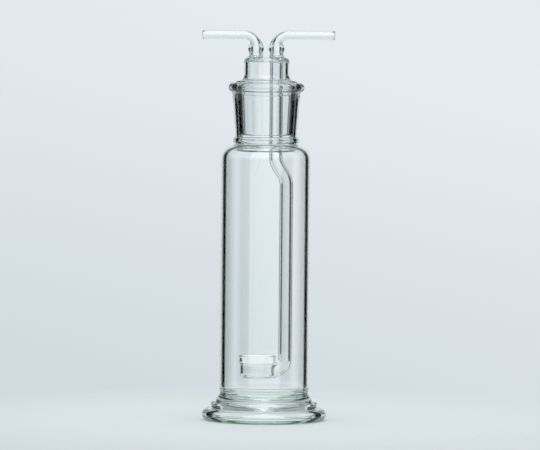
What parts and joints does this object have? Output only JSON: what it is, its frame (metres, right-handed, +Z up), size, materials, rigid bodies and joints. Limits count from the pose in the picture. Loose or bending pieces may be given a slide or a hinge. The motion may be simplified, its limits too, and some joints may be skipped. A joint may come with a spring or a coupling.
{
  "type": "gas washing bottle",
  "caption": "Clear glass gas washing bottle on a round foot, with a lift-out ground joint head that carries two arms, a dip tube and a sintered filter disc.",
  "frame": {"origin": "centre of the foot on the surface that the bottle stands on", "axes": "+Z up along the bottle's axis; +X along the inlet arm, -X along the outlet arm"},
  "size_m": [0.0974, 0.0914, 0.2874],
  "materials": {
    "clear_glass": "clear, fire-polished",
    "sintered_glass": "matt, white, sintered grains"
  },
  "bodies": {
    "bottle": {"foot": "clear_glass", "bottle_body": "clear_glass", "ground_socket": "clear_glass"},
    "head": {"ground_cone": "clear_glass", "outlet_arm": "clear_glass", "inlet_tube": "clear_glass", "filter_cup": "clear_glass", "sintered_disc": "sintered_glass"}
  },
  "joints": [
    {"name": "head_lift", "type": "slide", "parent": "bottle", "child": "head", "axis": [0, 0, 1], "range_m": [0, 0.225]}
  ]
}
